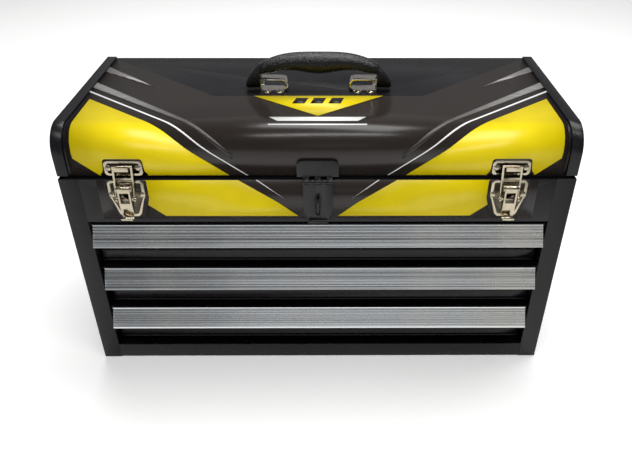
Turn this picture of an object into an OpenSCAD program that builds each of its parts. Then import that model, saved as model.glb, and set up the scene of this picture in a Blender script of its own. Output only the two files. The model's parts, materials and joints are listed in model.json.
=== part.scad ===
// Portable steel tool chest: rounded lid over a till with a lift-out tray, three drawers below.
// Millimetres. Origin on the floor under the middle of the case; the front faces -Y and +Z is up.

/* [Case] */
// Width of the case over the side panels
case_w = 521; // [420:1:640]
// Depth of the case, front posts to back panel
case_d = 214; // [180:1:280]
// Height of the case up to its rim, without the lid
case_h = 246; // [226:1:320]
// Thickness of the steel sheet
sheet = 1.2; // [0.8:0.1:1.6]
// Width of the corner posts beside the drawers
post_w = 20; // [16:1:28]
// Depth of the posts' return flange
post_return = 14; // [12.5:0.5:20]
// Height of the front fascia over the drawers
fascia_h = 50.5; // [46:0.5:60]
// Height of the top of the front sill above the floor
sill_top = 20; // [14:1:30]
// Height of the lip that stands up inside the lid
lip_h = 4; // [2:0.5:6]

/* [Lid] */
// Height of the lid over its end rims
lid_h = 50; // [47:1:70]
// Gap between the case's rim and the lid
lid_gap = 2.2; // [1.5:0.1:3]
// Radius of the rounded front edge, over the rims
lid_round = 27; // [15:1:27]
// Width of the rims that wrap the lid's ends
rim_w = 11.5; // [8:0.5:16]
// How far the rims stand proud of the lid's skin
rim_proud = 1.8; // [1:0.1:2.4]
// Setback of the rims behind the posts' front face
rim_setback = 1.8; // [1:0.1:3]

/* [Drawers] */
// Recess of the drawer fronts behind the posts
front_recess = 11; // [8:0.5:12]
// Gap between one drawer front and the next
drawer_gap = 2.5; // [2:0.5:4]
// Clearance over the top drawer's front
drawer_head = 3.5; // [3:0.5:5]
// Clearance under the bottom drawer's front
drawer_foot = 4; // [3:0.5:6]
// Clearance of a drawer front beside each post
front_side_gap = 2; // [1.5:0.25:3]
// How far the middle drawer sits to one side in its play
middle_shift = 1.5; // [-1.5:0.25:1.5]
// Space left behind a closed drawer
drawer_back_gap = 10; // [6:1:20]

/* [Drawer pulls] */
// Height of the pull's fluted face
pull_drop = 20; // [14:0.5:22]
// How far the pull's lower lip stands out from the posts
pull_out = 12.3; // [8:0.1:14]
// Thickness of the pull's aluminium
pull_wall = 1.7; // [1.4:0.1:2]
// Number of flutes along the pull
flute_count = 8; // [4:1:9]
// Depth of each flute
flute_depth = 0.5; // [0.2:0.1:0.7]
// Clearance from the pull's end to the drawer front's end
pull_end_gap = 2; // [1:0.5:6]

/* [Handle] */
// Length of the carrying handle
handle_l = 158; // [140:1:200]
// Height of the handle's crown over the lid
handle_h = 41.4; // [41:0.2:50]
// Height of the finger gap at the handle's middle
finger_gap = 17.8; // [17.5:0.1:22]
// Width of the grip from front to back
grip_w = 23; // [18:1:26]
// Height of the handle's pivot over the lid
pivot_h = 6.9; // [6.5:0.1:7.2]
// Distance of the handle's plane behind the middle of the case
handle_y = 6; // [-10:1:12]
// Width of the chrome handle loops
loop_w = 14; // [10:0.5:14]
// Thickness of the chrome handle loops
loop_t = 1.5; // [1:0.1:2]

/* [Latches and hasp] */
// Distance of each latch from the middle
latch_x = 193.5; // [120:0.5:200]
// Width of the latch's base plate
latch_w = 36.6; // [34:0.2:44]
// Width of the latch's lever
lever_w = 12.6; // [12:0.2:14]
// Distance from the lever's pivot to the loop's pivot
throw = 13; // [12:0.2:14]
// Radius of the wire across the top of the latch's loop
wire_r = 1.3; // [1:0.1:1.5]
// Radius of the latch's pivot pins
latch_pin_r = 1.6; // [1.3:0.1:1.8]
// Width of the hasp's leaf
hasp_w = 30; // [26:1:36]
// Width of the slot in the hasp's leaf
slot_w = 4.6; // [4.2:0.1:6]

/* [Tray] */
// Height of the lift-out tray's walls
tray_h = 32; // [20:1:34]
// Clearance around the tray inside the till
tray_gap = 4; // [3:0.5:8]
// Thickness of the tray's sheet
tray_sheet = 1; // [0.8:0.1:1.4]
// Length of the tray's handle
tray_handle_l = 120; // [90:1:160]

/* [Hidden] */
$fn = 48;
eps = 0.01;                 // overlap for cuts
play = 0.05;                // radial running clearance of every pin
seat = 0.1;                 // clearance between pieces that are fixed together
half_w = case_w / 2;
front_y = -case_d / 2;      // front face of the posts
back_y = case_d / 2;        // outer face of the back panel
open_x = half_w - post_w;   // half width of the drawer opening
fascia_z = case_h - fascia_h;
sill_z = 2;                 // underside of the sill
lip_side = half_w - sheet - 1.4;    // outer face of the lip along each side
lip_front = front_y + 6.6;          // inner face of the lip along the front
lip_short = 6;                      // how far the side lips stop short of the back panel
fascia_end = 4;                     // the fascia's top flange ends this far inside the side panels
fascia_flange = 8;                  // reach of the fascia's lower flange behind the posts' face
floor_z = fascia_z - sheet; // underside of the till's floor

// Lid, over the rims; the skin lies inside the rims
lid_z = case_h + lid_gap;
lid_top = lid_z + lid_h;
lid_front = front_y + rim_setback;
lid_side = half_w + 0.5;
skin_top = lid_top - rim_proud;
skin_front = lid_front + rim_proud;
skin_round = lid_round - rim_proud;

// Lid hinge along the back
hinge_r = 2.2;
hinge_pin_r = 1.1;
hinge_y = back_y + hinge_r;
hinge_z = case_h + lid_gap / 2;
hinge_inset = 20;           // hinge ends this far inside the case's sides
hinge_half = half_w - hinge_inset;
knuckles = 14;
knuckle_l = 2 * hinge_half / knuckles;
knuckle_gap = 0.3;
leaf_h = 14;                // height of each hinge leaf from the hinge's axis
leaf_t = 1;
leaf_gap = 0.4;             // clearance between a leaf and the other leaf's knuckles

// Drawers
drawer_n = 3;
front_h = (fascia_z - sill_top - drawer_head - drawer_foot - (drawer_n - 1) * drawer_gap) / drawer_n;
front_face = front_y + front_recess;
front_half = open_x - front_side_gap;
slide_w = 4.6;              // how far a slide stands out from its pan
slide_h = 7.6;
slide_t = 1;
slide_gap = 0.7;            // clearance of a slide inside its runner
runner_in = open_x - 5;     // inner edge of the runners' flanges
pan_half = front_half - 5.5;
pan_back = back_y - sheet - drawer_back_gap;
pan_lift = 3;               // pan's floor over the lower edge of its front
pan_head = 7;               // pan's rim under the upper edge of its front
runner_lift = 14;           // runner's shelf over the lower edge of the front
runner_wall = 12;           // height of the runner's flange on the side panel
hem_r = 1.6;                // rolled hem along each front's lower edge
bead_r = 1.1;               // pressed bead across each front
bead_end = 4.5;             // bead stops this far short of the front's ends
bead_lift = 14;             // bead over the lower edge of the front

// Pull, in its own section: u outwards from the posts' face, v up from its top edge
pull_half = front_half - pull_end_gap;
pull_top = 0.7;             // top edge of the pull below the top of the front
lip_back = 3.5;             // depth of the pull's turned-in lower lip

// Handle
pivot_z = skin_top + pivot_h;
bracket_h = 2 * pivot_h;
bracket_out = 0.4 * handle_l;   // outer side of each handle loop
loop_l = 23;                // length of each loop to the centre of its rounded side
bracket_in = bracket_out - loop_l;
handle_pin_r = 2.4;
end_gap = 0.5;              // clearance between handle and loop
grip_half = handle_l / 2;
grip_end_h = 5;             // crown of the handle's ends over the lid, without the arch
grip_end_r = 6.6;           // half the width of the handle's ends from front to back
belly_swell = 4.1;          // extra height of the underside halfway along each side
core_t = 2.4;
core_w = 8;
core_leg = 7;               // the core's legs stand this far outside the loops
foot_r = 4.2;               // radius of each loop's riveted lugs
lug_in = bracket_in + 2;    // centres of the two lugs
lug_out = bracket_out - 7;
lug_reach = 4.2;            // lug centre in front of the loop's edge

// Rivets
rivet_r = 2;
rivet_head_r = 3.6;
rivet_head_h = 1.7;
rivet_play = 0.1;

// Latches
latch_t = 1.2;
latch_top = case_h - 0.8;
latch_low = fascia_z + 7.5;
latch_neck = latch_top - 20;
latch_neck_w = 22.5;
base_front = front_y - latch_t;
latch_rivet_x = 14.6;
latch_rivet_z = case_h - 17;
ear_t = 1.2;
ear_gap = 0.3;
ear_x = lever_w / 2 + ear_gap;
lever_pivot_y = base_front - 6;   // lever's pivot
lever_pivot_z = case_h - 6.5;
over_centre = 1;            // loop's pivot behind the lever's pivot
barrel_r = 3.4;             // lever's barrel round its pivot
ear_r = 3.6;
lever_face = lever_pivot_y - barrel_r;   // front of the lever at its pivot
lever_foot = latch_low + 6;
lever_t = 1.2;
lever_lean = 1.2;           // lever's foot behind its face
curl_r = 4;                 // lever's curled finger end
link_y = lever_pivot_y + over_centre;
link_z = lever_pivot_z - throw;
arm_x = ear_x + ear_t + 0.4;
arm_t = 2;
arm_half = 1.1;             // half the arm's width from front to back
eye_r = 2.7;                // arm's eye round the lower pin
bridge_half = 0.9;          // half the thickness of the loop's lower bridge
bridge_drop = 12.6;         // bridge below the wire
strike_t = 1.2;
strike_w = 38;
strike_round = 4;           // radius of the strike's corners
strike_front = skin_front - strike_t;
bar_gap = 1.1;              // clearance behind the loop's wire
bar_y = strike_front - wire_r - bar_gap;
bar_z = lid_z + 12;
bar_rise = bar_z - link_z;
bar_tilt = atan((bar_y - link_y) / bar_rise);
hook_half = arm_x - 1.2;
hook_gap = 0.6;             // clearance under the loop's wire
hook_reach = 2 * wire_r + 5;
hook_lip = 3.2;
strike_rivet_x = 14.4;
strike_rivet_z = lid_z + 9.3;
link_pin_r = 1.4;

// Hasp
hasp_y = front_y - 3;       // hinge axis of the leaf
hasp_z = case_h - 1.3;
hasp_r = 2.6;
hasp_pin_r = 1.2;
hasp_knuckles = 5;
hasp_t = 1.4;
leaf_low = fascia_z + 5;
slot_low = fascia_z + 9.5;
slot_high = hasp_z - 13;
pad_half = 21;
pad_top = lid_z + 18;
pad_t = 3;
pad_round = 6;              // radius of the pad's upper corners
staple_r = 1.3;
staple_out = 8.5;
staple_mid = (slot_low + slot_high) / 2;
staple_half = 7;
staple_bend = 3;            // radius of the staple's two bends
hasp_curl = 3.4;            // outer radius of the leaf's curled end

// Tray
tray_half_w = lip_side - sheet - tray_gap;
tray_front = lip_front + tray_gap;
tray_back = back_y - sheet - leaf_t - tray_gap;
tray_mid = (tray_front + tray_back) / 2;
tray_z = floor_z + sheet + 0.3;
tray_rod_r = 2.6;
tray_rod_bend = 8;          // radius of the tray handle's bends
tray_handle_top = tray_z + tray_h + 11;
divider_drop = 3;
divider_dip = 18;
dip_round = 6;              // radius of the dip's lower corners

steel = [0.19, 0.18, 0.2];
chrome = [0.78, 0.76, 0.72];
alloy = [0.72, 0.73, 0.74];

function front_z(n) = sill_top + drawer_foot + (drawer_n - n) * (front_h + drawer_gap);
function drawer_x(n) = n == 2 ? middle_shift : 0;

// Crown and underside of the handle over the lid's skin, at x from its middle
function crown(x) = grip_end_h + (handle_h - grip_end_h)
  * pow(1 - pow(min(abs(x) / (grip_half + 1), 1), 3), 0.625);
function belly(x) = finger_gap + belly_swell * pow(sin(180 * x / bracket_out), 2);
function girth(x) = grip_w / 2 - (grip_w / 2 - grip_end_r) * pow(abs(x) / grip_half, 2.2);

module along_x(length) { rotate([90, 0, 90]) linear_extrude(length, center = true) children(); }
module along_y(length) { rotate([90, 0, 0]) linear_extrude(length, center = true) children(); }
module slab(low, high) { translate(low) cube(high - low); }
module box2(low, high) { translate(low) square(high - low); }
module x_rod(r, length) { rotate([0, 90, 0]) cylinder(r = r, h = length, center = true); }
module both_sides() { children(); mirror([1, 0, 0]) children(); }

// Section of the lid: round at the front top corner, grown outwards from the skin
module lid_section(grow, base) {
  r = skin_round + grow;
  low = skin_front - grow;
  top = skin_top + grow;
  back = back_y + min(grow, 0);
  box2([low, base], [back, top - r]);
  box2([low + r, base], [back, top]);
  intersection() {
    translate([low + r, top - r]) circle(r = r);
    box2([low, top - r], [low + r, top]);
  }
}

// ---- Case ----
module side_shape() {
  slab([half_w - sheet, front_y, 0], [half_w, back_y, case_h]);
  slab([open_x, front_y, 0], [half_w - sheet, front_y + sheet, case_h]);
  slab([open_x, front_y + sheet, sheet + seat], [open_x + sheet, front_y + post_return, floor_z - seat]);
  back = back_y - sheet;
  slab([lip_side - sheet, lip_front + seat, case_h - sheet], [half_w - sheet, back - seat, case_h]);
  slab([lip_side - sheet, lip_front + seat, case_h], [lip_side, back - lip_short, case_h + lip_h]);
}

module side_panel_left() { color(steel) mirror([1, 0, 0]) side_shape(); }
module side_panel_right() { color(steel) side_shape(); }

module back_panel() {
  color(steel) slab([-half_w + sheet, back_y - sheet, sheet], [half_w - sheet, back_y, case_h]);
}

module bottom_panel() {
  color(steel) slab([-half_w + sheet, front_y + sheet, 0], [half_w - sheet, back_y, sheet]);
}

module till_floor() {
  color(steel)
    slab([-half_w + sheet, front_y + sheet, floor_z], [half_w - sheet, back_y - sheet, floor_z + sheet]);
}

module front_fascia() {
  end = half_w - sheet - fascia_end;
  color(steel) difference() {
    union() {
      slab([-open_x, front_y, fascia_z], [open_x, front_y + sheet, case_h]);
      slab([-open_x, front_y + sheet, fascia_z], [open_x, front_y + fascia_flange, fascia_z + sheet]);
      slab([-end, front_y + sheet, case_h - sheet], [end, lip_front, case_h]);
      slab([-end, lip_front - sheet, case_h], [end, lip_front, case_h + lip_h]);
    }
    front_rivet_holes();
  }
}

module front_sill() {
  color(steel) {
    slab([-open_x, front_y, sill_z], [open_x, front_y + sheet, sill_top]);
    slab([-open_x, front_y + sheet, sill_top - sheet], [open_x, front_y + post_return, sill_top]);
  }
}

// Runner on the right: a channel that a drawer's slide rides in, on a shelf from the side panel
module runner_shape(n) {
  z = front_z(n) + runner_lift;
  length = back_y - sheet - front_y - post_return - 1;
  top = slide_h + 2 * slide_gap;
  translate([0, back_y - sheet - seat - length / 2, z]) along_y(length) {
    box2([runner_in, 0], [half_w - sheet - seat, sheet]);
    box2([open_x, sheet], [open_x + sheet, sheet + top]);
    box2([runner_in, sheet + top], [open_x + sheet, 2 * sheet + top]);
    box2([half_w - 2 * sheet - seat, sheet], [half_w - sheet - seat, runner_wall]);
  }
}

module runner_left(n) { color(steel) mirror([1, 0, 0]) runner_shape(n); }
module runner_right(n) { color(steel) runner_shape(n); }

// ---- Lid hinge: leaves with knuckles in turn, on one pin ----
module knuckle_row(first) {
  for (k = [first : 2 : knuckles - 1])
    translate([-hinge_half + (k + 0.5) * knuckle_l, hinge_y, hinge_z])
      x_rod(hinge_r, knuckle_l - knuckle_gap);
}

module hinge_bore() { translate([0, hinge_y, hinge_z]) x_rod(hinge_pin_r + play, case_w); }

module hinge_case_leaf() {
  color(steel) difference() {
    union() {
      knuckle_row(0);
      slab([-hinge_half, back_y, hinge_z - leaf_h],
        [hinge_half, back_y + leaf_t, hinge_z - hinge_r - leaf_gap]);
      for (k = [0 : 2 : knuckles - 1])
        translate([-hinge_half + k * knuckle_l + knuckle_gap / 2, back_y, hinge_z - hinge_r - 2 * leaf_gap])
          cube([knuckle_l - knuckle_gap, leaf_t, hinge_r + leaf_gap]);
    }
    hinge_bore();
  }
}

module hinge_lid_leaf() {
  color(steel) difference() {
    union() {
      knuckle_row(1);
      slab([-hinge_half, back_y, hinge_z + hinge_r + leaf_gap],
        [hinge_half, back_y + leaf_t, hinge_z + leaf_h]);
      for (k = [1 : 2 : knuckles - 1])
        translate([-hinge_half + k * knuckle_l + knuckle_gap / 2, back_y, hinge_z + leaf_gap])
          cube([knuckle_l - knuckle_gap, leaf_t, hinge_r + leaf_gap]);
    }
    hinge_bore();
  }
}

module hinge_pin() {
  color(chrome) translate([0, hinge_y, hinge_z]) x_rod(hinge_pin_r, 2 * hinge_half + 2);
}

// ---- Lid ----
module lid_skin() {
  color(steel) difference() {
    along_x(2 * (lid_side - sheet - seat)) difference() {
      lid_section(0, lid_z);
      lid_section(-sheet, lid_z - 1);
    }
    strike_rivet_holes();
    bracket_rivet_holes();
  }
}

module lid_end() {
  translate([lid_side - sheet / 2, 0, 0]) along_x(sheet) lid_section(rim_proud, lid_z);
  translate([lid_side - rim_w / 2, 0, 0]) along_x(rim_w) difference() {
    lid_section(rim_proud, lid_z);
    lid_section(seat, lid_z - 1);
  }
}

module lid_end_left() { color(steel) mirror([1, 0, 0]) lid_end(); }
module lid_end_right() { color(steel) lid_end(); }

// ---- Rivets ----
// A rivet along +Z: domed head above z = 0, shank through the grip, tail below
module rivet(grip) {
  dome_r = (rivet_head_r * rivet_head_r + rivet_head_h * rivet_head_h) / (2 * rivet_head_h);
  intersection() {
    translate([0, 0, rivet_head_h - dome_r]) sphere(r = dome_r);
    cylinder(r = rivet_head_r + 1, h = rivet_head_h + 1);
  }
  translate([0, 0, -grip]) cylinder(r = rivet_r, h = grip + 0.2);
  translate([0, 0, -grip - 0.9]) cylinder(r = rivet_r + 0.9, h = 0.9);
}

module face_front() { rotate([90, 0, 0]) children(); }

module at_latch_rivets() {
  for (side = [-1, 1], s = [-1, 1])
    translate([side * latch_x + s * latch_rivet_x, base_front, latch_rivet_z]) face_front() children();
}
module at_strike_rivets() {
  for (side = [-1, 1], s = [-1, 1])
    translate([side * latch_x + s * strike_rivet_x, strike_front, strike_rivet_z]) face_front() children();
}
module at_bracket_rivets() {
  for (side = [-1, 1], along = [lug_in, lug_out])
    translate([side * along, handle_y - loop_w / 2 - lug_reach, skin_top + loop_t]) children();
}
module rivet_hole() { translate([0, 0, -10]) cylinder(r = rivet_r + rivet_play, h = 20); }
module front_rivet_holes() { at_latch_rivets() rivet_hole(); }
module strike_rivet_holes() { at_strike_rivets() rivet_hole(); }
module bracket_rivet_holes() { at_bracket_rivets() rivet_hole(); }

module case_rivets() { color(chrome) at_latch_rivets() rivet(latch_t + sheet); }
module lid_rivets() {
  color(chrome) {
    at_strike_rivets() rivet(strike_t + sheet);
    at_bracket_rivets() rivet(loop_t + sheet);
  }
}

// ---- Latches, drawn for a latch at x = 0 ----
module at_latch(side) { translate([side * latch_x, 0, 0]) children(); }

module latch_base(side) {
  shoulder = latch_neck + 2;
  color(chrome) difference() {
    at_latch(side) {
      translate([0, front_y - latch_t / 2, 0]) along_y(latch_t) polygon([
        [-latch_w / 2, latch_top - 3], [-latch_w / 2 + 3, latch_top], [latch_w / 2 - 3, latch_top],
        [latch_w / 2, latch_top - 3], [latch_w / 2, shoulder], [latch_w / 2 - 2, latch_neck - 2],
        [latch_neck_w / 2, latch_low + 3], [latch_neck_w / 2 - 3, latch_low],
        [3 - latch_neck_w / 2, latch_low], [-latch_neck_w / 2, latch_low + 3],
        [2 - latch_w / 2, latch_neck - 2], [-latch_w / 2, shoulder]]);
      for (s = [-1, 1]) translate([s * (ear_x + ear_t / 2), 0, 0]) along_x(ear_t) {
        box2([lever_pivot_y, lever_pivot_z - ear_r], [base_front + eps, lever_pivot_z + ear_r]);
        translate([lever_pivot_y, lever_pivot_z]) circle(r = ear_r);
      }
    }
    front_rivet_holes();
    at_latch(side) translate([0, lever_pivot_y, lever_pivot_z]) x_rod(latch_pin_r, latch_w);
  }
}

module latch_pin(side) {
  color(chrome) at_latch(side) translate([0, lever_pivot_y, lever_pivot_z])
    x_rod(latch_pin_r, 2 * (ear_x + ear_t));
}

// Lever: a channel with a window, a barrel on the pivot and a curled finger end
module lever_side() {
  polygon([[lever_face, lever_pivot_z], [lever_pivot_y + barrel_r, lever_pivot_z],
    [link_y + 2 * link_pin_r, link_z - link_pin_r], [link_y - 0.5, lever_foot + 1],
    [link_y - 1.5, lever_foot], [lever_face + lever_lean, lever_foot], [lever_face, link_z - 3]]);
  translate([lever_pivot_y, lever_pivot_z]) circle(r = barrel_r);
}
module lever_pocket() {
  high = lever_pivot_z - barrel_r + 0.4;
  face = lever_face + lever_t;
  polygon([[face, high], [lever_pivot_y + 2 * barrel_r, high], [lever_pivot_y + 2 * barrel_r, lever_foot],
    [face + lever_lean, lever_foot - 1], [face, link_z - 3]]);
}
module latch_lever(side) {
  window = lever_w - 2 * lever_t - 0.8;
  color(chrome) at_latch(side) difference() {
    union() {
      along_x(lever_w) lever_side();
      translate([0, lever_face + lever_lean + lever_t - curl_r, lever_foot])
        along_x(lever_w - 1) difference() {
        circle(r = curl_r);
        circle(r = curl_r - lever_t);
        box2([-curl_r - 1, 0], [curl_r - lever_t, curl_r + 1]);
      }
    }
    along_x(lever_w - 2 * lever_t) lever_pocket();
    slab([-window / 2, lever_face - 1, link_z - link_pin_r - lever_t],
      [window / 2, lever_pivot_y, lever_pivot_z - barrel_r - 0.3]);
    translate([0, lever_pivot_y, lever_pivot_z]) x_rod(latch_pin_r + play, lever_w + 1);
    translate([0, link_y, link_z]) x_rod(link_pin_r, lever_w + 1);
  }
}

module link_pin(side) {
  color(chrome) at_latch(side) translate([0, link_y, link_z]) x_rod(link_pin_r, 2 * (arm_x + arm_t + 0.4));
}

// Loop: two arms on the lever's lower pin, joined by a wire over the strike's hook and a bridge
module latch_loop(side) {
  span = norm([bar_y - link_y, bar_rise]);
  bridge = span - bridge_drop;
  color(chrome) at_latch(side) translate([0, link_y, link_z]) rotate([-bar_tilt, 0, 0]) difference() {
    union() {
      for (s = [-1, 1]) translate([s * (arm_x + arm_t / 2), 0, 0]) along_x(arm_t) {
        circle(r = eye_r);
        box2([-arm_half, 0], [arm_half, span]);
        translate([0, span]) circle(r = wire_r);
      }
      translate([0, 0, span]) x_rod(wire_r, 2 * arm_x + eps);
      slab([-arm_x - eps, -bridge_half, bridge - 1], [arm_x + eps, bridge_half, bridge + 1]);
    }
    x_rod(link_pin_r + play, 2 * (arm_x + arm_t) + 1);
  }
}

// Strike on the lid: a plate with a hook that opens upwards
module strike(side) {
  half = strike_w / 2;
  low = lid_z + 0.8;
  high = lid_z + 17;
  hook_z = bar_z - wire_r - hook_gap;
  hook_front = strike_front - hook_reach;
  color(chrome) difference() {
    at_latch(side) {
      translate([0, skin_front - strike_t / 2, 0]) along_y(strike_t) {
        box2([-half, low + strike_round], [half, high - strike_round]);
        box2([strike_round - half, low], [half - strike_round, high]);
        for (x = [-1, 1], z = [low + strike_round, high - strike_round])
          translate([x * (half - strike_round), z]) circle(r = strike_round);
      }
      along_x(2 * hook_half) {
        box2([hook_front, hook_z - strike_t], [strike_front + eps, hook_z]);
        box2([hook_front, hook_z - strike_t], [hook_front + strike_t, hook_z + hook_lip]);
      }
    }
    strike_rivet_holes();
  }
}

// ---- Hasp ----
hasp_knuckle_l = hasp_w / hasp_knuckles;
module hasp_knuckle_row(first) {
  for (k = [first : 2 : hasp_knuckles - 1])
    translate([-hasp_w / 2 + (k + 0.5) * hasp_knuckle_l, hasp_y, hasp_z])
      x_rod(hasp_r, hasp_knuckle_l - knuckle_gap);
}
module hasp_bore(r) { translate([0, hasp_y, hasp_z]) x_rod(r, hasp_w + 2); }

module hasp_plate() {
  pad_back = skin_front - pad_t + 1;
  color(steel) difference() {
    union() {
      translate([0, skin_front - pad_t / 2, 0]) along_y(pad_t) {
        box2([-pad_half, lid_z], [pad_half, pad_top - pad_round]);
        box2([pad_round - pad_half, lid_z], [pad_half - pad_round, pad_top]);
        for (x = [-1, 1]) translate([x * (pad_half - pad_round), pad_top - pad_round]) circle(r = pad_round);
      }
      for (k = [0 : 2 : hasp_knuckles - 1])
        translate([-hasp_w / 2 + (k + 0.5) * hasp_knuckle_l, 0, 0]) along_x(hasp_knuckle_l - knuckle_gap)
          polygon([[pad_back, lid_z + 1.5], [skin_front - pad_t - 0.2, lid_z + 1.5],
            [hasp_y - hasp_r * cos(45), hasp_z + hasp_r * sin(45)], [hasp_y, hasp_z],
            [hasp_y + hasp_r, hasp_z], [hasp_y + hasp_r, case_h + 0.6], [pad_back, lid_z]]);
      hasp_knuckle_row(0);
    }
    hasp_bore(hasp_pin_r + play);
  }
}

module hasp_pin() { color(steel) hasp_bore(hasp_pin_r); }

module hasp_leaf() {
  half = hasp_w / 2;
  shoulder = leaf_low + 9;
  leaf_y = hasp_y - 0.4 + hasp_t / 2;
  color(steel) difference() {
    union() {
      hasp_knuckle_row(1);
      translate([0, leaf_y, 0]) along_y(hasp_t) difference() {
        polygon([[-half, hasp_z - hasp_r - 0.5], [half, hasp_z - hasp_r - 0.5], [half, shoulder],
          [half - 4.5, leaf_low], [4.5 - half, leaf_low], [-half, shoulder]]);
        box2([-slot_w / 2, slot_low + slot_w / 2], [slot_w / 2, slot_high - slot_w / 2]);
        for (z = [slot_low + slot_w / 2, slot_high - slot_w / 2]) translate([0, z]) circle(r = slot_w / 2);
      }
      for (k = [1 : 2 : hasp_knuckles - 1])
        translate([-half + (k + 0.5) * hasp_knuckle_l, leaf_y, hasp_z - hasp_r])
          cube([hasp_knuckle_l - knuckle_gap, hasp_t, 2 * hasp_r], center = true);
      translate([0, leaf_y + hasp_t / 2 - hasp_curl, leaf_low]) along_x(hasp_w - 9) difference() {
        circle(r = hasp_curl);
        circle(r = hasp_curl - hasp_t);
        box2([-hasp_curl - 1, 0], [hasp_curl - hasp_t, hasp_curl + 1]);
        box2([-hasp_curl - 1, -hasp_curl - 1], [-hasp_curl / 2, hasp_curl + 1]);
      }
    }
    hasp_bore(hasp_pin_r + play);
  }
}

module hasp_staple() {
  color(chrome) translate([0, front_y, staple_mid]) {
    for (s = [-1, 1]) translate([0, 0, s * staple_half]) rotate([90, 0, 0])
      cylinder(r = staple_r, h = staple_out - staple_bend);
    translate([0, -staple_out + staple_bend, 0]) rotate([90, 0, 270]) {
      for (s = [-1, 1]) translate([0, s * (staple_half - staple_bend), 0]) rotate([0, 0, s > 0 ? 0 : 270])
        rotate_extrude(angle = 90) translate([staple_bend, 0]) circle(r = staple_r);
    }
    translate([0, -staple_out, staple_bend - staple_half])
      cylinder(r = staple_r, h = 2 * (staple_half - staple_bend));
  }
}

// ---- Handle ----
module handle_bracket() {
  translate([0, handle_y, skin_top]) {
    difference() {
      along_y(loop_w) difference() {
        union() {
          box2([bracket_in, 0], [bracket_out, bracket_h]);
          translate([bracket_in, pivot_h]) circle(r = pivot_h);
        }
        box2([bracket_in, loop_t], [bracket_out - loop_t, bracket_h - loop_t]);
        translate([bracket_in, pivot_h]) circle(r = pivot_h - loop_t);
      }
      translate([bracket_out, 0, pivot_h]) x_rod(handle_pin_r + play, 20);
    }
    difference() {
      for (x = [lug_in, lug_out]) {
        translate([x, -loop_w / 2 - lug_reach, 0]) cylinder(r = foot_r, h = loop_t);
        translate([x - foot_r, -loop_w / 2 - lug_reach, 0]) cube([2 * foot_r, lug_reach + 1, loop_t]);
      }
      translate([0, -handle_y, -skin_top]) bracket_rivet_holes();
    }
  }
}
module handle_bracket_left() { color(chrome) mirror([1, 0, 0]) handle_bracket(); }
module handle_bracket_right() { color(chrome) handle_bracket(); }

// Grip: rings around the arch, from one end to the other
ring_sides = 16;
step_x = bracket_out + end_gap;
ring_inner = [for (k = [0 : 10]) k * (step_x - 0.3) / 10];
ring_outer = [step_x, step_x + 3, step_x + 7, step_x + 11, grip_half - 2, grip_half];
ring_half = concat(ring_inner, ring_outer);
ring_x = concat([for (k = [len(ring_half) - 1 : -1 : 1]) -ring_half[k]], ring_half);
function belly_at(x) = abs(x) >= step_x ? pivot_h - 5 + (abs(x) > grip_half - 1 ? 1 : 0) : belly(x);
function ring_point(x, a) = let (top = crown(x), low = belly_at(x))
  [x, handle_y + girth(x) * cos(a), skin_top + (top + low) / 2 + (top - low) / 2 * sin(a)];
grip_points = [for (x = ring_x, k = [0 : ring_sides - 1]) ring_point(x, 360 * k / ring_sides)];
last_ring = len(ring_x) - 1;
grip_faces = concat(
  [[for (k = [0 : ring_sides - 1]) k]],
  [[for (k = [ring_sides - 1 : -1 : 0]) last_ring * ring_sides + k]],
  [for (r = [0 : last_ring - 1], k = [0 : ring_sides - 1]) let (a = r * ring_sides,
    b = r * ring_sides + ring_sides, n = (k + 1) % ring_sides)
    each [[a + k, b + k, b + n], [a + k, b + n, a + n]]]);

function core_z(x) = (crown(x) + belly(x)) / 2;
core_knee = bracket_out - 6;
core_end = bracket_out + core_leg;
core_steps = 7;
core_half = concat([for (k = [1 : core_steps]) let (x = core_knee * k / core_steps) [x, core_z(x)]],
  [[core_end - core_t / 2, crown(core_end) - 6]]);
core_line = concat([for (k = [core_steps : -1 : 0]) [-core_half[k][0], core_half[k][1]]],
  [[0, core_z(0)]], core_half);
module core_shape() {
  n = len(core_line) - 1;
  up = [for (k = [0 : n]) core_line[k] + [0, core_t / 2]];
  down = [for (k = [n : -1 : 0]) core_line[k] - [0, core_t / 2]];
  translate([0, handle_y, skin_top]) along_y(core_w) {
    polygon(concat(up, down));
    for (x = [-core_end, core_end - core_t])
      box2([x, pivot_h - 3], [x + core_t, crown(core_end) - 4]);
  }
}
module handle_pin(side, extra) {
  translate([side * (bracket_out + 3), handle_y, pivot_z]) x_rod(handle_pin_r + extra, 14);
}

module handle_grip() {
  color([0.05, 0.05, 0.05]) difference() {
    polyhedron(points = grip_points, faces = grip_faces);
    core_shape();
    for (side = [-1, 1]) handle_pin(side, 0);
  }
}
module handle_core() {
  color(alloy) difference() {
    core_shape();
    for (side = [-1, 1]) handle_pin(side, 0);
  }
}
module handle_pins() { color(chrome) for (side = [-1, 1]) handle_pin(side, 0); }

// ---- Drawers ----
module drawer_pan(n) {
  low = front_z(n) + pan_lift;
  high = front_z(n) + front_h - pan_head;
  back = pan_back;
  near = front_face + sheet;
  color(steel) translate([drawer_x(n), 0, 0]) difference() {
    slab([-pan_half, near, low], [pan_half, back, high]);
    slab([-pan_half + sheet, near + sheet, low + sheet], [pan_half - sheet, back - sheet, high + 1]);
  }
}

module drawer_front(n) {
  low = front_z(n);
  high = low + front_h;
  color(steel) translate([drawer_x(n), 0, 0]) {
    slab([-front_half, front_face, low + hem_r], [front_half, front_face + sheet, high]);
    slab([-front_half, front_y + 1, high - sheet], [front_half, front_face + sheet, high]);
    translate([0, front_face + sheet - hem_r, low + hem_r]) x_rod(hem_r, 2 * front_half);
    translate([0, front_face, low + bead_lift]) intersection() {
      x_rod(bead_r, 2 * (front_half - bead_end));
      slab([-front_half, -2 * bead_r, -bead_r], [front_half, sheet / 2, bead_r]);
    }
  }
}

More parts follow.
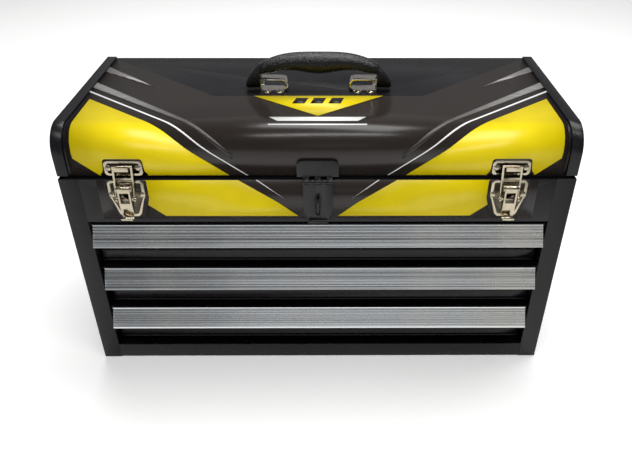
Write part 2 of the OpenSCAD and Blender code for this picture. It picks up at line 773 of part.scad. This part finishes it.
// Pull: a fluted face that slopes out to a turned lip, on a tongue under the front's top flange
slope = norm([pull_out, pull_drop]);
flute_pitch = (slope - 3.4) / flute_count;
function on_slope(t, depth) = [t * pull_out / slope - depth * pull_drop / slope,
  -t * pull_drop / slope - depth * pull_out / slope];
flute_edge = [for (k = [0 : flute_count - 1]) each [
  on_slope(1 + flute_pitch * (k + 0.1), 0), on_slope(1 + flute_pitch * (k + 0.3), flute_depth),
  on_slope(1 + flute_pitch * (k + 0.6), flute_depth), on_slope(1 + flute_pitch * (k + 0.8), 0)]];
module pull_section() {
  polygon(concat([[-0.5, 0], [0.4, 0]], flute_edge, [on_slope(slope - 0.9, 0), [pull_out, -pull_drop - 0.8],
    [pull_out - 1, -pull_drop - pull_wall], [pull_out - lip_back, -pull_drop - pull_wall],
    [pull_out - lip_back, -pull_drop], on_slope(slope - 1, pull_wall), on_slope(2.6, pull_wall),
    [1 - front_recess, -2.3], [1 - front_recess, -0.6], [-1.1, -0.6]]));
}
module drawer_pull(n) {
  color(alloy) translate([drawer_x(n), front_y, front_z(n) + front_h - pull_top])
    along_x(2 * pull_half) mirror([1, 0]) pull_section();
}

// Both slides of a drawer: channels along the pan's sides
module drawer_slides(n) {
  z = front_z(n) + runner_lift + sheet + slide_gap;
  near = front_face + sheet + 1;
  length = pan_back - near;
  color(chrome) translate([drawer_x(n), 0, 0]) both_sides()
    translate([pan_half, near + length / 2, z]) along_y(length) {
      box2([0, 0], [slide_t, slide_h]);
      box2([slide_t, 0], [slide_w, slide_t]);
      box2([slide_t, slide_h - slide_t], [slide_w, slide_h]);
    }
}

// ---- Tray ----
module tray_pan() {
  color(steel) difference() {
    slab([-tray_half_w, tray_front, tray_z], [tray_half_w, tray_back, tray_z + tray_h]);
    slab([-tray_half_w + tray_sheet, tray_front + tray_sheet, tray_z + tray_sheet],
      [tray_half_w - tray_sheet, tray_back - tray_sheet, tray_z + tray_h + 1]);
  }
}

module tray_divider() {
  inside = 2 * (tray_half_w - tray_sheet - seat);
  base = tray_z + tray_sheet;
  top = tray_z + tray_h - divider_drop;
  dip = tray_handle_l / 2 - 2 * dip_round;
  color(steel) translate([0, tray_mid, 0]) along_y(tray_sheet) difference() {
    box2([-inside / 2, base], [inside / 2, top]);
    box2([-dip, top - divider_dip + dip_round], [dip, top + 1]);
    box2([dip_round - dip, top - divider_dip], [dip - dip_round, top + 1]);
    for (s = [-1, 1]) translate([s * (dip - dip_round), top - divider_dip + dip_round]) circle(r = dip_round);
  }
}

module tray_handle() {
  half = tray_handle_l / 2;
  bend = tray_rod_bend;
  top = tray_handle_top - tray_rod_r;
  foot = tray_z + tray_h - divider_drop;
  color(chrome) translate([0, tray_mid, 0]) {
    translate([0, 0, top]) x_rod(tray_rod_r, 2 * (half - bend));
    for (s = [-1, 1]) {
      translate([s * half, 0, foot]) cylinder(r = tray_rod_r, h = top - bend - foot);
      translate([s * (half - bend), 0, top - bend]) rotate([90, 0, 0]) rotate([0, 0, s > 0 ? 0 : 90])
        rotate_extrude(angle = 90) translate([bend, 0]) circle(r = tray_rod_r);
    }
  }
}

side_panel_left();
side_panel_right();
back_panel();
bottom_panel();
till_floor();
front_fascia();
front_sill();
runner_left(1);  // runner_left_1
runner_right(1);  // runner_right_1
runner_left(2);  // runner_left_2
runner_right(2);  // runner_right_2
runner_left(3);  // runner_left_3
runner_right(3);  // runner_right_3
hinge_case_leaf();
hinge_pin();
hinge_lid_leaf();
lid_skin();
lid_end_left();
lid_end_right();
case_rivets();
lid_rivets();
latch_base(-1);  // latch_base_left
latch_base(1);  // latch_base_right
latch_pin(-1);  // latch_pin_left
latch_pin(1);  // latch_pin_right
latch_lever(-1);  // latch_lever_left
latch_lever(1);  // latch_lever_right
link_pin(-1);  // link_pin_left
link_pin(1);  // link_pin_right
latch_loop(-1);  // latch_loop_left
latch_loop(1);  // latch_loop_right
strike(-1);  // strike_left
strike(1);  // strike_right
hasp_plate();
hasp_pin();
hasp_leaf();
hasp_staple();
handle_bracket_left();
handle_bracket_right();
handle_grip();
handle_core();
handle_pins();
drawer_pan(1);  // drawer_pan_1
drawer_front(1);  // drawer_front_1
drawer_pull(1);  // drawer_pull_1
drawer_slides(1);  // drawer_slides_1
drawer_pan(2);  // drawer_pan_2
drawer_front(2);  // drawer_front_2
drawer_pull(2);  // drawer_pull_2
drawer_slides(2);  // drawer_slides_2
drawer_pan(3);  // drawer_pan_3
drawer_front(3);  // drawer_front_3
drawer_pull(3);  // drawer_pull_3
drawer_slides(3);  // drawer_slides_3
tray_pan();
tray_divider();
tray_handle();
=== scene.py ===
"""Toolbox with tray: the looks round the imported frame. Metres, front towards -Y, +Z up."""
import json
import math

import bmesh
import bpy
from mathutils import Matrix, Vector

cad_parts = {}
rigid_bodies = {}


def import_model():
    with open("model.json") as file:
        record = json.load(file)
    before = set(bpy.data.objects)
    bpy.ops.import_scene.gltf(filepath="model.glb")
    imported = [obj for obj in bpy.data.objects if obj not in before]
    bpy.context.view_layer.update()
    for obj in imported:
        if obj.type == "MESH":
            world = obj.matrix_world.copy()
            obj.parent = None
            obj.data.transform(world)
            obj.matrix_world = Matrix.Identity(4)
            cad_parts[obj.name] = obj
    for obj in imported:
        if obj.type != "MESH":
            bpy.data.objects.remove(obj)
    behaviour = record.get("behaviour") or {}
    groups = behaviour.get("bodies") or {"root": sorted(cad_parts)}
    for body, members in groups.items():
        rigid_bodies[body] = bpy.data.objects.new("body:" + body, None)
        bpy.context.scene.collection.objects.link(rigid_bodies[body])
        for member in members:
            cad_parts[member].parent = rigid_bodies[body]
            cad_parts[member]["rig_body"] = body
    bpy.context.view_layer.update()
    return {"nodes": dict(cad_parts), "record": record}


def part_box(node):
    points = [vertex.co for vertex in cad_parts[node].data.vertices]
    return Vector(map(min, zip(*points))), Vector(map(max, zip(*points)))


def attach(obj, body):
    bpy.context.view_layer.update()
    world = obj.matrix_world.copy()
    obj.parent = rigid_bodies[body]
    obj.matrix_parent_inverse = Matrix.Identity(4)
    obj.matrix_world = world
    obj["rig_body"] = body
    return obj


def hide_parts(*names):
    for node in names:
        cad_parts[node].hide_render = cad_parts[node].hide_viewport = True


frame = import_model()
nodes = frame["nodes"]
MM = 0.001

# ---- Places from the frame ----
skin_low, skin_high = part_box("lid_skin")
rim_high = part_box("lid_end_right")[1]
case_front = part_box("side_panel_right")[0].y
LID_ROUND = 27 * MM             # radius of the lid's rounded edge over its rims
PLATE = 1.2 * MM                # thickness of the latch and strike plates
skin_round = LID_ROUND - (rim_high.z - skin_high.z)
arc_start = skin_high.z - skin_round - skin_low.z
arc_length = skin_round * math.pi / 2
DECAL_LIFT = 0.12 * MM
DECAL_THICK = 0.08 * MM


def camera():
    """The camera of the reference view."""
    data = bpy.data.cameras.new("camera")
    data.sensor_width = 36
    data.lens = 36.76
    data.shift_x = -0.0281
    data.shift_y = 0.0032
    data.clip_start = 0.02
    data.clip_end = 20
    cam = bpy.data.objects.new("camera", data)
    pitch, yaw, roll = math.radians(34.03), math.radians(0.36), math.radians(0.12)
    forward = Vector((math.sin(yaw) * math.cos(pitch), math.cos(yaw) * math.cos(pitch), -math.sin(pitch)))
    right = Vector((math.cos(yaw), -math.sin(yaw), 0))
    up = right.cross(forward)
    right, up = right * math.cos(roll) + up * math.sin(roll), up * math.cos(roll) - right * math.sin(roll)
    turn = Matrix((right, up, -forward)).transposed()
    cam.matrix_world = Matrix.Translation((0.0126, -0.6716, 0.5659)) @ turn.to_4x4()
    bpy.context.scene.collection.objects.link(cam)
    bpy.context.scene.camera = cam


# ---- Materials ----
class Nodes:
    """A small builder for one material's node tree."""

    def __init__(self, name):
        self.material = bpy.data.materials.new(name)
        self.material.use_nodes = True
        self.tree = self.material.node_tree
        self.shader = self.tree.nodes["Principled BSDF"]
        self.place = self.add("ShaderNodeTexCoord").outputs["Object"]

    def add(self, kind, **settings):
        node = self.tree.nodes.new(kind)
        for key, value in settings.items():
            if hasattr(node, key):
                setattr(node, key, value)
            else:
                node.inputs[key].default_value = value
        return node

    def link(self, a, b):
        self.tree.links.new(a, b)

    def set(self, **values):
        for key, value in values.items():
            self.shader.inputs[key.replace("_", " ")].default_value = value

    def stretched(self, scale):
        """Object coordinates scaled along each axis."""
        mapping = self.add("ShaderNodeMapping", Scale=scale)
        self.link(self.place, mapping.inputs["Vector"])
        return mapping.outputs["Vector"]

    def noise(self, scale, detail=3.0, roughness=0.5, vector=None):
        node = self.add("ShaderNodeTexNoise", Scale=scale, Detail=detail, Roughness=roughness)
        self.link(vector or self.place, node.inputs["Vector"])
        return node.outputs["Fac"]

    def cells(self, scale, feature="F1", vector=None):
        node = self.add("ShaderNodeTexVoronoi", Scale=scale, feature=feature)
        self.link(vector or self.place, node.inputs["Vector"])
        return node.outputs["Distance"]

    def ramp(self, value, *stops):
        """Colours or grey levels at given positions."""
        node = self.add("ShaderNodeValToRGB")
        elements = node.color_ramp.elements
        while len(elements) < len(stops):
            elements.new(0.5)
        for element, (position, colour) in zip(elements, stops):
            element.position = position
            if not isinstance(colour, (tuple, list)):
                colour = (colour, colour, colour)
            element.color = (*colour, 1)
        self.link(value, node.inputs["Fac"])
        return node.outputs["Color"]

    def colour(self, output):
        self.link(output, self.shader.inputs["Base Color"])

    def rough(self, output):
        self.link(output, self.shader.inputs["Roughness"])

    def bump(self, height, strength, distance):
        node = self.add("ShaderNodeBump", Strength=strength, Distance=distance)
        self.link(height, node.inputs["Height"])
        if self.shader.inputs["Normal"].is_linked:
            self.link(self.shader.inputs["Normal"].links[0].from_socket, node.inputs["Normal"])
        self.link(node.outputs["Normal"], self.shader.inputs["Normal"])

    def mix(self, factor, a, b):
        node = self.add("ShaderNodeMix", data_type="RGBA")
        self.link(factor, node.inputs[0])
        for socket, value in ((node.inputs[6], a), (node.inputs[7], b)):
            if isinstance(value, tuple):
                socket.default_value = (*value, 1)
            else:
                self.link(value, socket)
        return node.outputs[2]


def srgb(r, g, b):
    """Linear colour of a display colour from 0 to 255."""
    return tuple(((c / 255 + 0.055) / 1.055) ** 2.4 if c > 10 else c / 255 / 12.92 for c in (r, g, b))


def shade(colour, k):
    return tuple(min(1, c * k) for c in colour)


def enamel(name, colour, rough=0.28, coat=0.0):
    """Sprayed enamel on sheet steel: faint mottling, orange peel, uneven gloss."""
    m = Nodes(name)
    m.colour(m.ramp(m.noise(22, 4), (0.3, shade(colour, 0.86)), (0.7, shade(colour, 1.12))))
    m.rough(m.ramp(m.noise(60, 5, 0.6), (0.25, rough - 0.05), (0.75, rough + 0.06)))
    m.bump(m.noise(900, 2), 0.06, 0.0004)
    m.set(Coat_Weight=coat, Coat_Roughness=0.2, Specular_IOR_Level=0.26)
    return m.material


def vinyl(name, colour, rough=0.33):
    """Printed vinyl with a gloss laminate."""
    m = Nodes(name)
    m.colour(m.ramp(m.noise(35, 3), (0.3, shade(colour, 0.95)), (0.7, shade(colour, 1.04))))
    m.rough(m.ramp(m.noise(160, 4), (0.3, rough - 0.015), (0.7, rough + 0.02)))
    m.bump(m.noise(500, 2), 0.03, 0.0003)
    m.set(Specular_IOR_Level=0.35)
    return m.material


def hatched(name, colour, gap):
    """A printed stripe broken up by fine slanting lines."""
    m = Nodes(name)
    wave = m.add("ShaderNodeTexWave", Scale=170, Distortion=0.6, bands_direction="DIAGONAL")
    wave.inputs["Detail"].default_value = 2
    m.link(m.place, wave.inputs["Vector"])
    m.colour(m.ramp(wave.outputs["Fac"], (0.38, gap), (0.62, colour)))
    m.rough(m.ramp(m.noise(160, 4), (0.3, 0.3), (0.7, 0.42)))
    m.set(Coat_Weight=0.3, Coat_Roughness=0.15)
    return m.material


def faded(name, colour, ground):
    """A printed stripe that fades into the ground colour towards the middle of the lid."""
    m = Nodes(name)
    split = m.add("ShaderNodeSeparateXYZ")
    m.link(m.place, split.inputs["Vector"])
    side = m.add("ShaderNodeMath", operation="ABSOLUTE")
    m.link(split.outputs["X"], side.inputs[0])
    near = m.add("ShaderNodeMapRange")
    near.inputs["From Min"].default_value = 0.105
    near.inputs["From Max"].default_value = 0.225
    m.link(side.outputs[0], near.inputs["Value"])
    lines = m.noise(1, 2, 0.5, m.stretched((40, 900, 900)))
    streaked = m.mix(m.ramp(lines, (0.42, 0.0), (0.58, 1.0)), shade(colour, 0.62), colour)
    m.colour(m.mix(near.outputs[0], ground, streaked))
    m.rough(m.ramp(m.noise(160, 4), (0.3, 0.3), (0.7, 0.42)))
    return m.material


def plated(name, colour, rough=0.14, wear=0.1):
    """Bright plate over pressed steel, with soft waviness and faint stains."""
    m = Nodes(name)
    stain = m.ramp(m.noise(180, 5, 0.65), (0.3, shade(colour, 0.72)), (0.62, colour))
    m.colour(stain)
    m.rough(m.ramp(m.noise(420, 4), (0.3, rough), (0.75, rough + wear)))
    m.bump(m.noise(320, 3), 0.22, 0.0006)
    m.set(Metallic=1.0)
    return m.material


def brushed(name, colour, rough=0.3):
    """Drawn metal with long dark lines in X, partly drawn grain and partly painted shade of the flutes' grooves,
    and soft cool and warm stretches along it.
    """
    m = Nodes(name)
    fine = m.noise(1, 1, 0.5, m.stretched((0.12, 520, 520)))
    wide = m.noise(1, 2, 0.5, m.stretched((7, 0.2, 0.2)))
    # painted shade: dark lines about a flute apart stand for shade in the pull's grooves, as well as for drawn
    # grain
    grain_and_flute_shade = m.ramp(fine, (0.4, shade(colour, 0.4)), (0.56, shade(colour, 1.1)))
    warm = tuple(c * k for c, k in zip(colour, (1.1, 1.0, 0.86)))
    m.colour(m.mix(m.ramp(wide, (0.46, 0.0), (0.7, 0.5)), grain_and_flute_shade, warm))
    m.rough(m.ramp(wide, (0.3, rough - 0.06), (0.7, rough + 0.08)))
    m.set(Metallic=1.0)
    return m.material


def pebbled(name, colour):
    """Moulded plastic with a leather-like pebble grain."""
    m = Nodes(name)
    grain = m.cells(850)
    m.colour(m.ramp(m.noise(120, 3), (0.3, shade(colour, 0.8)), (0.7, shade(colour, 1.3))))
    m.rough(m.ramp(grain, (0.1, 0.14), (0.8, 0.34)))
    m.bump(grain, 0.75, 0.0005)
    m.bump(m.noise(260, 3), 0.3, 0.0008)
    m.set(Specular_IOR_Level=0.45)
    return m.material


PAINT = srgb(18, 16, 20)
BROWN = srgb(38, 32, 29)
YELLOW = srgb(226, 203, 0)
materials = {
    "painted_steel": enamel("painted_steel", PAINT),
    "case_brown": enamel("case_brown", BROWN, 0.34),
    "hasp_black": enamel("hasp_black", srgb(20, 18, 20), 0.3, 0.2),
    "tray_paint": enamel("tray_paint", srgb(40, 38, 42), 0.42),
    "pull_aluminium": brushed("pull_aluminium", srgb(236, 240, 243), 0.22),
    "grip_plastic": pebbled("grip_plastic", srgb(5, 5, 6)),
    "zinc_steel": plated("zinc_steel", srgb(188, 190, 192), 0.28, 0.16),
    "chrome": plated("chrome", srgb(242, 236, 228), 0.07, 0.08),
    "nickel": plated("nickel", srgb(188, 178, 156), 0.08, 0.1),
}
yellow = vinyl("yellow_vinyl", YELLOW)
white = vinyl("white_vinyl", srgb(238, 238, 236))
grey_hatch = hatched("grey_hatch", srgb(150, 148, 146), srgb(70, 64, 62))
grey_fade = faded("grey_fade", srgb(158, 156, 153), BROWN)
brown_vinyl = vinyl("brown_vinyl", BROWN, 0.24)
dark_vinyl = vinyl("dark_vinyl", srgb(22, 19, 19))
# painted shade and painted dark reflection: darker nickel films for the middles of the latch and strike plates
nickel_painted_shade = plated("nickel_painted_shade", srgb(98, 92, 78), 0.12, 0.14)
nickel_painted_dark_reflection = plated("nickel_painted_dark_reflection", srgb(42, 38, 33), 0.16, 0.14)


# ---- Pieces from the CAD nodes ----
SLOT = {row["node"]: row["material_slot"] for row in frame["record"]["subparts"]}


def dress(piece, body, slot, material=None):
    piece.data.materials.clear()
    piece.data.materials.append(material or materials[slot])
    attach(piece, body)
    return piece


def soften(node, width, segments=2, material=None, angle=28):
    """A copy of a CAD node with its sharp edges rounded as folded or pressed metal is."""
    source = nodes[node]
    body = source["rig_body"]
    mesh = source.data.copy()
    piece = bpy.data.objects.new(f"{node}_finished", mesh)
    bpy.context.scene.collection.objects.link(piece)
    bm = bmesh.new()
    bm.from_mesh(mesh)
    bmesh.ops.remove_doubles(bm, verts=bm.verts, dist=2e-6)
    bmesh.ops.dissolve_limit(bm, angle_limit=math.radians(0.4), verts=bm.verts, edges=bm.edges)
    for face in bm.faces:
        face.smooth = True
    bm.to_mesh(mesh)
    bm.free()
    bevel = piece.modifiers.new("round", "BEVEL")
    bevel.width = width
    bevel.segments = segments
    bevel.limit_method = "ANGLE"
    bevel.angle_limit = math.radians(angle)
    bevel.harden_normals = True
    bevel.use_clamp_overlap = True
    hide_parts(node)
    return dress(piece, body, SLOT[node], material)


EDGE = {
    "side_panel_left": 0.5, "side_panel_right": 0.5, "front_fascia": 0.45, "front_sill": 0.45,
    "lid_skin": 0.4, "lid_end_left": 0.9, "lid_end_right": 0.9,
}
for name in nodes:
    if name.startswith("drawer_front"):
        soften(name, 0.5 * MM)
    elif name.startswith(("latch_", "strike", "link_pin", "hasp", "handle_bracket")):
        soften(name, 0.25 * MM)
    elif name == "handle_grip":
        soften(name, 0.2 * MM, 2, angle=50)
    elif name in EDGE:
        soften(name, EDGE[name] * MM, 3)
    else:
        slot = SLOT[name]
        nodes[name].data.materials.clear()
        nodes[name].data.materials.append(materials[slot])


# ---- Printed graphics ----
def on_lid(x, s):
    """Point and normal on the lid's skin at arc length s up from its lower front edge."""
    if s < arc_start:
        return Vector((x, skin_low.y, skin_low.z + s)), Vector((0, -1, 0))
    turn = (s - arc_start) / skin_round
    if s < arc_start + arc_length:
        normal = Vector((0, -math.cos(turn), math.sin(turn)))
        centre = Vector((x, skin_low.y + skin_round, skin_high.z - skin_round))
        return centre + normal * skin_round, normal
    return Vector((x, skin_low.y + skin_round + s - arc_start - arc_length, skin_high.z)), Vector((0, 0, 1))


def on_fascia(x, s):
    return Vector((x, case_front, s)), Vector((0, -1, 0))


def print_shape(name, body, place, outline, material, layer=0, cuts=(), round_to=0.0):
    """A thin printed film: a flat outline in millimetres laid onto a face, with its corners rounded."""
    points = [Vector((x, y, 0)) * MM for x, y in outline]
    if round_to:
        points = rounded(points, round_to * MM)
    bm = bmesh.new()
    face = bm.faces.new([bm.verts.new(p) for p in points])
    if face.normal.z < 0:
        face.normal_flip()
    for cut in cuts:
        geometry = bm.verts[:] + bm.edges[:] + bm.faces[:]
        bmesh.ops.bisect_plane(bm, geom=geometry, plane_co=(0, cut, 0), plane_no=(0, 1, 0))
    bmesh.ops.triangulate(bm, faces=bm.faces[:])
    lift = DECAL_LIFT + layer * DECAL_THICK
    for vert in bm.verts:
        point, normal = place(vert.co.x, vert.co.y)
        vert.co = point + normal * lift
    top = bm.faces[:]
    for face in top:
        face.smooth = True
    mesh = bpy.data.meshes.new(name)
    bm.to_mesh(mesh)
    bm.free()
    piece = bpy.data.objects.new(name, mesh)
    bpy.context.scene.collection.objects.link(piece)
    solid = piece.modifiers.new("film", "SOLIDIFY")
    solid.thickness = DECAL_THICK
    solid.offset = -1
    return dress(piece, body, "painted_steel", material)


def rounded(points, radius, steps=4):
    """The outline with each corner replaced by a short curve."""
    result = []
    for k, corner in enumerate(points):
        before, after = points[k - 1], points[(k + 1) % len(points)]
        reach = min(radius, (before - corner).length / 2.2, (after - corner).length / 2.2)
        a = corner + (before - corner).normalized() * reach
        b = corner + (after - corner).normalized() * reach
        for step in range(steps + 1):
            t = step / steps
            result.append(a * (1 - t) ** 2 + corner * 2 * t * (1 - t) + b * t * t)
    return result


ARC_CUTS = [arc_start + arc_length * k / 12 for k in range(13)]


def lid_print(name, outline, material, layer=0, mirror=True, round_to=0.0):
    """A film on the lid, and its mirror image on the other side."""
    for side, sign in (("right", 1), ("left", -1)) if mirror else (("middle", 1),):
        shape = [(sign * x, s) for x, s in outline]
        print_shape(f"{name}_{side}", "lid", on_lid, shape, material, layer, ARC_CUTS, round_to)


def fascia_print(name, outline, material, layer=0, mirror=True, round_to=0.0):
    for side, sign in (("right", 1), ("left", -1)) if mirror else (("middle", 1),):
        shape = [(sign * x, z) for x, z in outline]
        print_shape(f"{name}_{side}", "case", on_fascia, shape, material, layer, (), round_to)


HINGE_LINE = 0.7                # lower edge of the lid's films over the skin's edge, mm
LATCH_X = 193.5                 # each latch's distance from the middle, mm
FASCIA_LOW, FASCIA_HIGH = 199, 245.3


def plates(x):
    """Darker films inside each latch and strike plate's bright border: painted shade and painted dark reflection
    laid on the plates' flat faces.
    """
    base_low, base_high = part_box("latch_base_right")
    strike_low, strike_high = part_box("strike_right")
    face = case_front - PLATE
    strike_face = skin_low.y - PLATE
    low, high = base_low.z / MM, base_high.z / MM
    for side, sign in (("right", 1), ("left", -1)):
        # each field is a dark film of painted shade (latch) and painted dark reflection (strike) on the plate's
        # face
        for name, body, y, material, shape in (
                ("latch_painted_shade_field", "case", face, nickel_painted_shade, [
                    (-15.6, high - 2.6), (15.6, high - 2.6), (15.6, high - 20), (8.2, low + 3), (-8.2, low + 3),
                    (-15.6, high - 20)]),
                ("strike_painted_reflection_field", "lid", strike_face, nickel_painted_dark_reflection, [
                    (-16, strike_low.z / MM + 2.4), (16, strike_low.z / MM + 2.4),
                    (16, strike_high.z / MM - 2.2), (-16, strike_high.z / MM - 2.2)])):
            outline = [(sign * x + u, v) for u, v in shape]
            print_shape(f"{name}_{side}", body, lambda u, v, y=y: (Vector((u, y, v)), Vector((0, -1, 0))),
                        outline, material, 0, (), 2.5)


def graphics():
    """Colour blocks and stripes of the printed films, each outline in x and height or arc length."""
    lid_print("lid_brown", [
        (247, HINGE_LINE), (247, 241.5), (113, 126.3), (-113, 126.3), (-247, 241.5), (-247, HINGE_LINE)],
        brown_vinyl, mirror=False)
    lid_print("lid_yellow", [
        (88.5, HINGE_LINE), (218.5, HINGE_LINE), (241.8, 19.6), (243.2, 54), (243.6, 118), (170, 60.3),
        (151, 46.8), (130, 30.5)], yellow, 1)
    lid_print("lid_white", [
        (71.4, HINGE_LINE), (117, 33), (140, 51), (156.5, 63.4), (252, 139), (252, 142.5), (155.5, 65.4),
        (139, 52.6), (116.3, 34.2), (69.8, HINGE_LINE)], white, 1)
    lid_print("lid_grey", [
        (84, 18.5), (136.5, 62.8), (251.5, 152), (251.5, 167), (136, 69), (84, 24)], grey_fade, 1)
    lid_print("lid_spike", [(181.5, 152), (251.5, 201), (251.5, 217)], grey_hatch, 1)
    lid_print("lid_triangle", [(0, 74.3), (69.5, 126.3), (-69.5, 126.3)], yellow, 2, mirror=False)
    for place in (-19, 0, 19):
        lid_print(f"triangle_bar_{place + 19}", [
            (place - 8.5, 105.5), (place + 4.5, 105.5), (place + 8.5, 120.5), (place - 4.5, 120.5)],
            dark_vinyl, 3, mirror=False)
    lid_print("mark_bar", [(-40, 62), (40, 62), (49, 71.5), (-49, 71.5)], white, 2, mirror=False)
    lid_print("mark_line", [(-49, 54.5), (49, 54.5), (49, 56.7), (-49, 56.7)], white, 2, mirror=False)
    x = LATCH_X
    lid_print("strike_patch", [
        (x - 25, HINGE_LINE), (x - 20.5, 5), (x - 19.5, 18.9), (x + 19.5, 18.9), (x + 21, 5),
        (x + 25, HINGE_LINE)],
        dark_vinyl, 2, round_to=3.5)
    fascia_print("fascia_brown", [
        (-223, FASCIA_LOW), (223, FASCIA_LOW), (222.5, FASCIA_HIGH), (-222.5, FASCIA_HIGH)],
        brown_vinyl, mirror=False)
    fascia_print("fascia_yellow", [
        (41, 219), (20.5, 202.5), (157.7, 202.8), (176, 217.5), (176, FASCIA_HIGH), (80, FASCIA_HIGH)], yellow, 1)
    fascia_print("latch_patch", [
        (x - 21.3, FASCIA_HIGH), (x - 21.3, 224), (x - 14.5, 201), (x + 14.5, 201), (x + 21.3, 224),
        (x + 21.3, FASCIA_HIGH)], dark_vinyl, 2, round_to=2)
    plates(x)
    fascia_print("fascia_white", [
        (60.5, FASCIA_HIGH), (62.3, FASCIA_HIGH), (34, 223)], white, 1)


graphics()


# ---- Stage ----
def area_light(name, place, target, size, power, colour=(1, 1, 1)):
    data = bpy.data.lights.new(name, "AREA")
    data.shape = "RECTANGLE"
    data.size, data.size_y = size
    data.energy = power
    data.color = colour
    lamp = bpy.data.objects.new(name, data)
    lamp.location = place
    lamp.rotation_mode = "QUATERNION"
    lamp.rotation_quaternion = (Vector(target) - Vector(place)).to_track_quat("-Z", "Y")
    bpy.context.scene.collection.objects.link(lamp)


def studio():
    mesh = bpy.data.meshes.new("floor")
    half = 6
    corners = [(-half, -half, 0), (half, -half, 0), (half, half, 0), (-half, half, 0)]
    mesh.from_pydata(corners, [], [(0, 1, 2, 3)])
    floor = bpy.data.objects.new("floor", mesh)
    bpy.context.scene.collection.objects.link(floor)
    m = Nodes("floor")
    m.colour(m.ramp(m.noise(1.5, 2), (0.3, 0.93), (0.7, 0.96)))
    m.set(Roughness=0.7, Emission_Color=(1.0, 0.985, 0.97, 1), Emission_Strength=0.16)
    mesh.materials.append(m.material)
    world = bpy.data.worlds.new("world")
    world.use_nodes = True
    world.node_tree.nodes["Background"].inputs["Color"].default_value = (1, 1, 1, 1)
    world.node_tree.nodes["Background"].inputs["Strength"].default_value = 0.22
    bpy.context.scene.world = world
    area_light("overhead", (0.2, 0.6, 1.9), (0, 0.1, 0.2), (2.2, 0.9), 39)
    area_light("strip", (0.05, -0.72, 1.9), (0, -0.1, 0.28), (2.4, 0.16), 19)
    area_light("front", (0.3, -2.2, 1.0), (0, -0.1, 0.15), (1.6, 0.6), 1.0)
    bpy.context.scene.view_settings.view_transform = "Standard"


camera()
studio()
